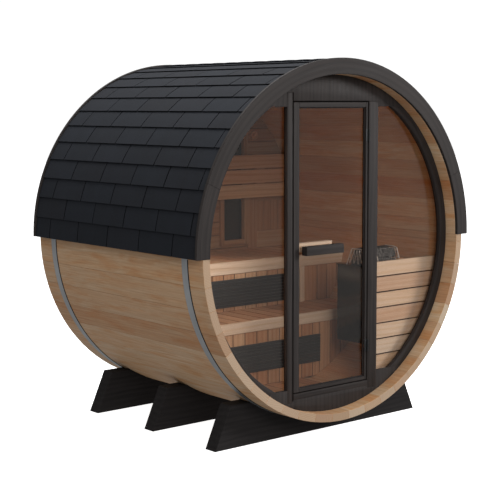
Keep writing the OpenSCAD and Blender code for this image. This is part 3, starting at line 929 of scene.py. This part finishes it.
# glazing beads
b = Build()
for (p, q, s) in (((ox0, oz0), (ox1, oz0), "x"), ((ox0, oz1 - 0.006), (ox1, oz1 - 0.006), "x")):
    b.box(p[0], q[0], gy0 - 0.0055, gy0 - 0.0002, p[1], p[1] + 0.006, grain="x", c=0.0016, tone=0.2)
for x in (ox0, ox1 - 0.006):
    b.box(x, x + 0.006, gy0 - 0.0055, gy0 - 0.0002, oz0 + 0.006, oz1 - 0.006, grain="z", c=0.0016, tone=0.2)
b.make("door_glazing_bead", M_DARK, body="door", slot="dark_timber")
NODES["door_glass"].data.materials.clear()
NODES["door_glass"].data.materials.append(M_GLASS)
for n in ("front_glass_left", "front_glass_right"):
    NODES[n].data.materials.clear()
    NODES[n].data.materials.append(M_GLASS)
from_node("door_handle_outer", "door_handle_outer_bar", M_DARK, bevel=0.0035, segments=3, grain=along_x, body="door", tone=0.5)
from_node("door_handle_inner", "door_handle_inner_bar", M_PALE, bevel=0.0035, segments=3, grain=along_x, body="door", tone=0.6, hue=0.2)
# hinges: leaves from the frame, with screw heads on the door leaf
from_node("hinge_post_leaves", "hinge_post_leaf_pair", M_IRON, bevel=0.0004, segments=1, grain=up)
from_node("hinge_door_leaves", "hinge_door_leaf_pair", M_IRON, bevel=0.0004, segments=1, grain=up, body="door")
hx0, hx1, hy0, hy1, hz0, hz1 = B("hinge_door_leaves")
b = Build()
leaf_y = dy0 - 0.003
for zc in (hz0 + 0.035, hz1 - 0.035):
    for sz in (-0.024, 0.024):
        b.lathe([(0.0001, 0.0), (0.0034, 0.0), (0.0033, 0.0006), (0.0024, 0.0010), (0.0011, 0.0011), (0.0009, 0.0006), (0.0001, 0.0006)],
                (hx0 + 0.0095, leaf_y - 0.00005, zc + sz), (0, -1, 0), n=18)
b.make("hinge_screws", M_IRON, body="door", slot="hinge_metal")

# ------------------------------------------------------------------ rear wall
wx0, wx1, wy0, wy1, wz0, wz1 = B("rear_wall")
fx0, fx1, fy0, fy1, fz0, fz1 = B("rear_window_frame")
qx0, qx1, qy0, qy1, qz0, qz1 = B("rear_window_glass")
hx0, hx1, hz0, hz1 = fx0 + 0.019, fx1 - 0.019, fz0 + 0.019, fz1 - 0.019
b = Build()
z = 1.530
edges = [z]
p = 0.0875
while edges[-1] < AX + R_FIT:
    edges.append(edges[-1] + p)
while edges[0] > AX - R_FIT:
    edges.insert(0, edges[0] - p)
for z0, z1 in zip(edges, edges[1:]):
    spans = [(-2.0, 2.0)]
    if z1 > hz0 and z0 < hz1:
        spans = [(-2.0, hx0 - 0.0005), (hx1 + 0.0005, 2.0)]
    for (a, c) in spans:
        out = clip_circle(a, c, z0 + 0.0004, z1 - 0.0004, R_FIT)
        if len(out) >= 3 and abs(area(out)) > 2e-4:
            # edge 0.8: painted shade in the gaps between the wall boards
            b.plate(out, wy0, wy1, c=0.0030, grain="x", edge=0.8)
    if len(spans) == 2 and (z0 < hz0 or z1 > hz1):
        a, c = (z0, hz0) if z0 < hz0 else (hz1, z1)
        if c - a > 0.006:
            b.plate([(hx0, a + 0.0004), (hx1, a + 0.0004), (hx1, c - 0.0004), (hx0, c - 0.0004)], wy0, wy1, c=0.0018, grain="x")
b.make("rear_wall_boards", M_BACK, replaces=["rear_wall"], slot="cabin_wood")

# wainscot panel right of the window, between the bench and the backrest
b = Build()
ub = B("upper_bench")
seat_top = ub[5]
bx = B("backrest")
back_low = bx[4]
px0 = fx1 + 0.001
px1 = px0 + 0.080
pz0, pz1 = 1.012, 1.217
yy = wy0 - 0.009
for out in (clip_circle(px0, px1, seat_top + 0.002, back_low + 0.06, R_FIT - 0.001),
            ):
    b.plate(out, yy, wy0 - 0.0002, c=0.0015, grain="z")
for (a, c) in ((seat_top + 0.002, pz0), (pz1, back_low + 0.060)):
    out = clip_circle(px1 + 0.0006, 2.0, a, c, R_FIT - 0.001)
    if len(out) > 2:
        b.plate(out, yy, wy0 - 0.0002, c=0.0015, grain="x")
x = px1 + 0.0008
while x < 0.95:
    out = clip_circle(x, x + 0.0625, pz0 + 0.0004, pz1 - 0.0004, R_FIT - 0.001)
    if len(out) > 2 and abs(area(out)) > 1e-4:
        # edge 1.0: painted shade in the gaps between the wainscot boards
        b.plate(out, wy0 - 0.0045, wy0 - 0.0002, c=0.0016, grain="z", edge=1.0)
    x += 0.0630
b.make("rear_wall_wainscot", M_BACK, slot="cabin_wood")

# window: trims inside and outside, lining, glass
wx = (qx0 + 0.0055, qx1 - 0.0055, qz0 + 0.0055, qz1 - 0.0055)
b = Build()
for (y0, y1, wide) in ((fy0, wy0, 0.033), (wy1, fy1, 0.033)):
    b.box(fx0, wx[0] + 0.0, y0, y1, fz0, fz1, grain="z", c=0.0020)
    b.box(wx[1], fx1, y0, y1, fz0, fz1, grain="z", c=0.0020)
    b.box(wx[0], wx[1], y0, y1, fz0, wx[2], grain="x", c=0.0020)
    b.box(wx[0], wx[1], y0, y1, wx[3], fz1, grain="x", c=0.0020)
for (x0, x1, z0, z1, g) in ((hx0 + 0.0002, wx[0], hz0, hz1, "z"), (wx[1], hx1 - 0.0002, hz0, hz1, "z"), (wx[0], wx[1], hz0, wx[2], "x"), (wx[0], wx[1], wx[3], hz1, "x")):
    b.box(x0, x1, wy0, qy0 - 0.0003, z0, z1, grain=g, c=0.0006)
    b.box(x0, x1, qy1 + 0.0003, wy1, z0, z1, grain=g, c=0.0006)
b.make("rear_window_frame_members", M_BACK, replaces=["rear_window_frame"], slot="pale_wood")
NODES["rear_window_glass"].data.materials.clear()
NODES["rear_window_glass"].data.materials.append(M_GLASS_BACK)

# ------------------------------------------------------------------ floor and benches
def along_y(b, x_lo, x_hi, y0, y1, z0, z1, pitch, gap, c=0.0018, phase=0.0):
    """Boards running front to back, trimmed to the round wall."""
    x = x_lo + phase
    while x < x_hi - 0.004:
        a, e = x, min(x + pitch - gap, x_hi)
        zc = z0
        rr = math.sqrt(max(0.0, R_FIT ** 2 - (AX - z0) ** 2))
        lo, hi = max(a, -rr + 0.001), min(e, rr - 0.001)
        if hi - lo > 0.006:
            # the mark paints shade in the gaps along the boards' long edges
            b.box(lo, hi, y0, y1, z0, z1, grain="y", c=c, mark=lambda u, v, w, W=hi - lo: 1.0 if (v < c * 0.9 or v > W - c * 0.9) else 0.0)
        x += pitch


def upright(b, xs, y0, y1, z0, z1, c=0.0030, gap=0.0012):
    """Upright boards side by side between the given x values, trimmed to the round wall."""
    for a, e in zip(xs, xs[1:]):
        out = clip_circle(a + gap, e - gap, z0, z1, R_FIT)
        if len(out) > 2 and abs(area(out)) > 5e-5:
            # edge 1.0: painted shade in the gaps between the upright boards
            b.plate(out, y0, y1, c=c, grain="z", edge=1.0)


x0, x1, y0, y1, z0, z1 = B("floor")
b = Build()
along_y(b, x0, x1, y0, y1, z0, z1, 0.096, 0.004, phase=0.003)
b.make("floor_boards", M_ROOM, replaces=["floor"], slot="cabin_wood")


def bench(key, riser, apron_h, apron_t):
    x0, x1, y0, y1, z0, z1 = B(key)
    seat_t = 0.025
    b = Build()
    rr = math.sqrt(R_FIT ** 2 - (AX - (z1 - seat_t)) ** 2)
    n = int(round(2 * rr / 0.096))
    pitch = 2 * rr / n
    along_y(b, -rr, rr, y0 + apron_t + 0.001, y1, z1 - seat_t, z1, pitch, 0.008, c=0.0026)
    b.make(key + "_seat_boards", M_ROOM, replaces=[key], slot="cabin_wood")
    b = Build()
    out = clip_circle(-2, 2, z1 - apron_h, z1, R_FIT)
    b.plate(out, y0, y0 + apron_t - 0.0005, c=0.0025, grain="x", tone=0.8, hue=0.2)
    # rails under the seat that carry its boards
    b.make(key + "_apron", M_PALE, slot="pale_wood")
    b = Build()
    for yy in ((y0 + y1) / 2 - 0.02, y1 - 0.045):
        out = clip_circle(-2, 2, z1 - seat_t - 0.045, z1 - seat_t - 0.0005, R_FIT)
        b.plate(out, yy, yy + 0.040, c=0.002, grain="x")
    b.make(key + "_bearers", M_ROOM, slot="cabin_wood")


bench("lower_bench", "lower_riser", 0.065, 0.022)
bench("upper_bench", "upper_riser", 0.075, 0.022)

# risers
x0, x1, y0, y1, z0, z1 = B("lower_riser")
b = Build()
xs = [-0.310 - 0.0913 * i for i in range(8, 0, -1)] + [-0.310, -0.219, -0.127, -0.040, 0.051, 0.142, 0.233, 0.324, 0.381]
xs += [0.381 + 0.0913 * i for i in range(1, 7)]
upright(b, xs, y0, y1, z0, z1)
b.make("lower_riser_boards", M_ROOM, replaces=["lower_riser"], slot="cabin_wood")
x0, x1, y0, y1, z0, z1 = B("upper_riser")
b = Build()
px = B("upper_dark_panel")[1]
xs = [-px + 0.0883 * i for i in range(0, 13)]
xs[-1] = px
left = [-px - 0.010 - 0.040, -px]
upright(b, [-0.960, -0.875, -0.790, -0.705, -0.620, -px - 0.050, -px], y0, y1, z0, z1)
upright(b, xs, y0, y1, z0, z1)
b.make("upper_riser_boards", M_ROOM, replaces=["upper_riser"], slot="cabin_wood")
b = Build()
for s in (-1, 1):
    a, e = sorted((s * (px + 0.010), s * (px + 0.051)))
    b.plate([(a, z0), (e, z0), (e, z1), (a, z1)], y0 - 0.006, y1 - 0.001, c=0.0015, grain="z", tone=0.7, hue=0.3)
b.make("upper_riser_stiles", M_PALE, slot="pale_wood")
b = Build()
xr = [px + 0.0516, px + 0.166, px + 0.254, px + 0.342, px + 0.43]
upright(b, xr, y0, y1, z0, z1)
b.make("upper_riser_right_boards", M_ROOM, slot="cabin_wood")

# dark inset panels: thin louvre boards
for key in ("lower_dark_panel", "upper_dark_panel"):
    x0, x1, y0, y1, z0, z1 = B(key)
    b = Build()
    n = 9
    h = (z1 - z0) / n
    for i in range(n):
        b.box(x0, x1, y0, y1, z0 + h * i + 0.0003, z0 + h * (i + 1) - 0.0003, grain="x", c=0.0016)
    b.make(key + "_slats", M_PANEL, replaces=[key], slot="dark_timber")

# backrest
x0, x1, y0, y1, z0, z1 = B("backrest")
b = Build()
bt = 0.022
for k in range(3):
    a = z0 + 0.097 * k
    out = clip_circle(-2, 2, a, a + 0.091, R_FIT)
    b.plate(out, y0, y0 + bt, c=0.0030, grain="x")
b.make("backrest_boards", M_ROOM, replaces=["backrest"], slot="cabin_wood")
b = Build()
for s in (-0.610, 0.610):
    b.box(s - 0.040, s + 0.040, y0 + bt + 0.0003, y1, z0, z1, grain="z", c=0.002)
b.make("backrest_battens", M_ROOM, slot="cabin_wood")

# air vent: a turned disc with a knob
x0, x1, y0, y1, z0, z1 = B("air_vent")
r = (x1 - x0) / 2
b = Build()
prof = [(r, 0.0), (r, 0.009), (r - 0.002, 0.012), (r - 0.008, 0.0125), (r - 0.012, 0.0105), (0.012, 0.0100), (0.011, 0.0125), (0.0125, 0.0165), (0.010, 0.0180), (0.0005, 0.0180)]
b.lathe(prof, ((x0 + x1) / 2, y1, (z0 + z1) / 2), (0, -1, 0), n=48, tone=0.6, hue=0.5)
b.make("air_vent_disc", M_ROOM, replaces=["air_vent"], slot="pale_wood", smooth=40)

# ------------------------------------------------------------------ heater
x0, x1, y0, y1, z0, z1 = B("heater_stones")
hb = B("heater_body")
cx0, cx1 = x0 - 0.003, x1 + 0.003
cy0, cy1, cz0, cz1 = hb[2], hb[3], hb[4], hb[5]
from_node("heater_body", "heater_casing", M_STEEL, bevel=0.006, segments=3, grain=up, smooth=50)
b = Build()
# rolled rim round the top
for (zc, rr) in ((cz1 - 0.004, 0.0035),):
    b.rod([(cx0, cy0, zc), (cx1, cy0, zc)], rr)
    b.rod([(cx0, cy1, zc), (cx1, cy1, zc)], rr)
    b.rod([(cx0, cy0, zc), (cx0, cy1, zc)], rr)
    b.rod([(cx1, cy0, zc), (cx1, cy1, zc)], rr)
b.make("heater_rim", M_STEEL, slot="heater_steel")
# outline of the heap seen from the side
SLOPE_F, SLOPE_B = 0.035 / 0.105, 0.045 / 0.105


def heap(z):
    """Front and back of the heap at a height."""
    return y0 + SLOPE_F * (z - z0), y1 - SLOPE_B * (z - z0)


def basket(b, xs, r, step=6):
    for x in xs:
        pts = []
        for i in range(step + 1):
            z = z0 - 0.004 + (z1 - 0.008 - z0) * i / step
            pts.append((x, heap(z)[0] + 0.0026, z))
        for i in range(1, 5):
            a, e = heap(z1)
            pts.append((x, a + 0.006 + (e - a - 0.012) * i / 4.0 - 0.004, z1 - 0.0045))
        for i in range(step + 1):
            z = z1 - 0.008 - (z1 - 0.008 - z0) * i / step
            pts.append((x, heap(z)[1] - 0.0026, z))
        b.rod(pts, r, n=8)


b = Build()
basket(b, [x0 + 0.004, x0 + 0.1000, x1 - 0.004], 0.0032)
# zigzag wire on both ends
for xe in (x0 + 0.0034, x1 - 0.0034):
    pts = []
    n_zig = 9
    for i in range(n_zig * 6 + 1):
        t = i / (n_zig * 6.0)
        ph = t * n_zig * math.pi
        z = z0 + 0.010 + (z1 - z0 - 0.022) * (0.5 - 0.5 * math.cos(ph))
        a, e = heap(z)
        y = a + 0.008 + (e - a - 0.016) * t
        pts.append((xe, y, z))
    b.rod(pts, 0.0017, n=6)
# these hoops and zigzags use the near-white wire colour, which holds painted highlight
b.make("heater_basket_hoops", M_WIRE, slot="heater_steel")
b = Build()
basket(b, [x0 + 0.016 + (x1 - x0 - 0.032) * i / 17.0 for i in range(18)], 0.0014)
for zr in (z0 + 0.035, z0 + 0.070, z1 - 0.010):
    a, e = heap(zr)
    b.rod([(x0 + 0.003, a + 0.004, zr), (x1 - 0.003, a + 0.004, zr)], 0.0016)
    b.rod([(x0 + 0.003, e - 0.004, zr), (x1 - 0.003, e - 0.004, zr)], 0.0016)
b.make("heater_basket_rods", M_BASKET, slot="heater_steel")


def rock(b, c, s, seed):
    bm = bmesh.new()
    bmesh.ops.create_icosphere(bm, subdivisions=3, radius=1.0)
    q = Vector((seed * 1.7, seed * 0.9, seed * 2.3))
    rot = Matrix.Rotation(seed * 2.1, 3, Vector((math.sin(seed), math.cos(seed * 1.3), 0.5)).normalized())
    for v in bm.verts:
        n = v.co.normalized()
        d = 1.0 + 0.34 * noise.noise(n * 1.1 + q) + 0.10 * noise.noise(n * 3.1 + q)
        # flatten some faces
        for k in range(6):
            a = Vector((math.sin(seed * 3 + k * 2.4), math.cos(seed * 5 + k * 1.7), math.sin(k * 1.3 + seed))).normalized()
            t = n.dot(a) * d
            if t > 0.74:
                d *= 0.74 / t * 0.9 + 0.1
        p = rot @ (n * d)
        v.co = Vector((c[0] + p.x * s[0], c[1] + p.y * s[1], c[2] + p.z * s[2]))
    verts = [v.co.copy() for v in bm.verts]
    faces = [tuple(v.index for v in f.verts) for f in bm.faces]
    bm.free()
    b.raw(verts, faces, [v + q for v in verts], tone=rnd.random(), hue=rnd.random())


b = Build()
seed = 1
for layer, zc in enumerate((z0 + 0.018, z0 + 0.050, z0 + 0.080)):
    a, e = heap(zc)
    nx, ny = 8, (5, 4, 3)[layer]
    for i in range(nx):
        for j in range(ny):
            k = rnd.uniform(0.85, 1.12)
            s = (0.0235 * k, 0.0225 * k, 0.0185 * k)
            x = x0 + 0.028 + (x1 - x0 - 0.056) * (i + 0.25 * (layer % 2)) / (nx - 0.75) + rnd.uniform(-0.005, 0.005)
            y = a + 0.026 + (e - a - 0.052) * j / max(1, ny - 1) + rnd.uniform(-0.004, 0.004)
            zz = min(max(zc + rnd.uniform(-0.004, 0.004), z0 + s[2] * 0.8), z1 - s[2] - 0.010)
            x = min(max(x, x0 + s[0] + 0.006), x1 - s[0] - 0.006)
            f, g = heap(zz + s[2] * 0.6)
            y = min(max(y, f + s[1] + 0.004), g - s[1] - 0.004)
            rock(b, (x, y, zz), s, seed)
            seed += 1
b.make("heater_stone_pile", M_STONE, replaces=["heater_stones"], slot="stones", smooth=40)

# slatted guard in front of the heater
x0, x1, y0, y1, z0, z1 = B("heater_guard")
b = Build()
hues = [0.30, 0.50, 0.22, 0.99, 0.40, 0.99, 0.20]
for k in range(7):
    a = z0 + 0.0
    zb = 0.293 + 0.0932 * k
    out = clip_circle(x0, 2, zb, zb + 0.0868, R_FIT)
    # edge 0.9: painted shade in the grooves between the slats
    b.plate(out, y0, y0 + 0.018, c=0.0022, grain="x", tone=0.35 if k % 2 else 0.85, hue=hues[k], edge=0.9)
b.make("heater_guard_slats", M_PALE, replaces=["heater_guard"], slot="pale_wood")
# dark tongues between the slats: their dark colour is painted shade in the gaps
b = Build()
for k in range(6):
    zb = 0.293 + 0.0932 * k + 0.0870
    out = clip_circle(x0 + 0.001, 2, zb, zb + 0.0060, R_FIT - 0.001)
    b.plate(out, y0 + 0.0040, y0 + 0.0120, c=0.0004, grain="x")
b.make("heater_guard_tongues", M_TONGUE, slot="pale_wood")
b = Build()
for xx in (x0, 0.640):
    out = clip_circle(xx, xx + 0.040, 0.150, 0.940, R_FIT)
    b.plate(out, y0 + 0.0182, y1, c=0.002, grain="z")
b.make("heater_guard_battens", M_ROOM, slot="cabin_wood")

# ------------------------------------------------------------------ floor, light and camera
bpy.ops.mesh.primitive_plane_add(size=60, location=(0, 0, -0.0005))
ground = bpy.context.object
ground.name = "studio_floor"
gm = Mat("studio_floor_matt")
gc = gm.n("ShaderNodeTexCoord").outputs["Object"]
gn = gm.noise(gc, 0.6, 2.0, 0.5)
gm.set(Base_Color=gm.mix(gn, (0.90, 0.90, 0.90, 1.0), (0.93, 0.93, 0.93, 1.0)), Roughness=0.9)
gm.p.inputs["Emission Color"].default_value = (1, 1, 1, 1)
gm.p.inputs["Emission Strength"].default_value = 0.95
ground.data.materials.append(gm.m)
ground.visible_diffuse = False
ground.visible_glossy = False

world = bpy.data.worlds.new("studio")
SC.world = world
world.use_nodes = True
wt = world.node_tree
wt.nodes.clear()
wo = wt.nodes.new("ShaderNodeOutputWorld")
# soft room light for the object, stronger from above; plain white behind it for the camera
wc = wt.nodes.new("ShaderNodeTexCoord")
ws = wt.nodes.new("ShaderNodeSeparateXYZ")
wt.links.new(wc.outputs["Generated"], ws.inputs[0])
wr = wt.nodes.new("ShaderNodeMapRange")
wr.inputs["From Min"].default_value = -1.0
wr.inputs["From Max"].default_value = 1.0
wt.links.new(ws.outputs["Z"], wr.inputs["Value"])
ramp = wt.nodes.new("ShaderNodeValToRGB")
SKY = [(0.0, 0.34), (0.45, 0.36), (0.56, 0.30), (0.8, 0.36), (1.0, 0.75)]
while len(ramp.color_ramp.elements) < len(SKY):
    ramp.color_ramp.elements.new(0.5)
for e, (pos, val) in zip(ramp.color_ramp.elements, SKY):
    e.position = pos
    e.color = (val, val, val, 1.0)
wt.links.new(wr.outputs["Result"], ramp.inputs["Fac"])
bg = wt.nodes.new("ShaderNodeBackground")
wt.links.new(ramp.outputs["Color"], bg.inputs["Color"])
bg.inputs["Strength"].default_value = 1.0
bw = wt.nodes.new("ShaderNodeBackground")
bw.inputs["Color"].default_value = (1, 1, 1, 1)
bw.inputs["Strength"].default_value = 1.05
lp = wt.nodes.new("ShaderNodeLightPath")
mx = wt.nodes.new("ShaderNodeMixShader")
wt.links.new(lp.outputs["Is Camera Ray"], mx.inputs[0])
wt.links.new(bg.outputs[0], mx.inputs[1])
wt.links.new(bw.outputs[0], mx.inputs[2])
wt.links.new(mx.outputs[0], wo.inputs["Surface"])


def area_light(name, loc, target, size, power, color=(1, 1, 1)):
    d = bpy.data.lights.new(name, "AREA")
    d.shape = "DISK"
    d.size = size
    d.energy = power
    d.color = color
    o = bpy.data.objects.new(name, d)
    COL.objects.link(o)
    o.location = loc
    o.rotation_mode = "QUATERNION"
    o.rotation_quaternion = (Vector(target) - Vector(loc)).to_track_quat("-Z", "Y")
    return o


C0 = Vector((0, 0, AX))
area_light("key", (6.3, -6.2, 3.85), C0, 2.5, 450)
area_light("fill", (-3.0, -7.5, 4.1), C0, 3.4, 245)
area_light("top", (0.3, 1.0, 6.5), C0, 4.0, 310)
inner = area_light("inner", (0.42, -0.50, 1.62), (-0.55, 0.18, 0.88), 0.35, 2.0, (1.0, 0.96, 0.92))
inner.data.spread = math.radians(75)
inner.visible_camera = False
inner.visible_glossy = False

cam_data = bpy.data.cameras.new("camera")
cam = bpy.data.objects.new("camera", cam_data)
COL.objects.link(cam)
SC.camera = cam
cam_data.sensor_width = 36.0
cam_data.lens = 91.94
cam_data.clip_start, cam_data.clip_end = 0.1, 200.0
f = Vector((0.63790, 0.76163, -0.11406))
r = Vector((0.76642, -0.64233, -0.00279))
u = Vector((0.07538, 0.08564, 0.99347))
f = (f - r * (0.4 / 1276.89) + u * (0.16 / 1276.89)).normalized()
u = (u - f * u.dot(f)).normalized()
r = f.cross(u)
rot = Matrix((r, u, -f)).transposed()
cam.rotation_mode = "QUATERNION"
cam.rotation_quaternion = rot.to_quaternion()
cam.location = (-4.9494, -5.8981, 1.8705)

SC.view_settings.view_transform = "Standard"
SC.view_settings.look = "None"
SC.view_settings.exposure = 0.0
SC.view_settings.gamma = 1.0
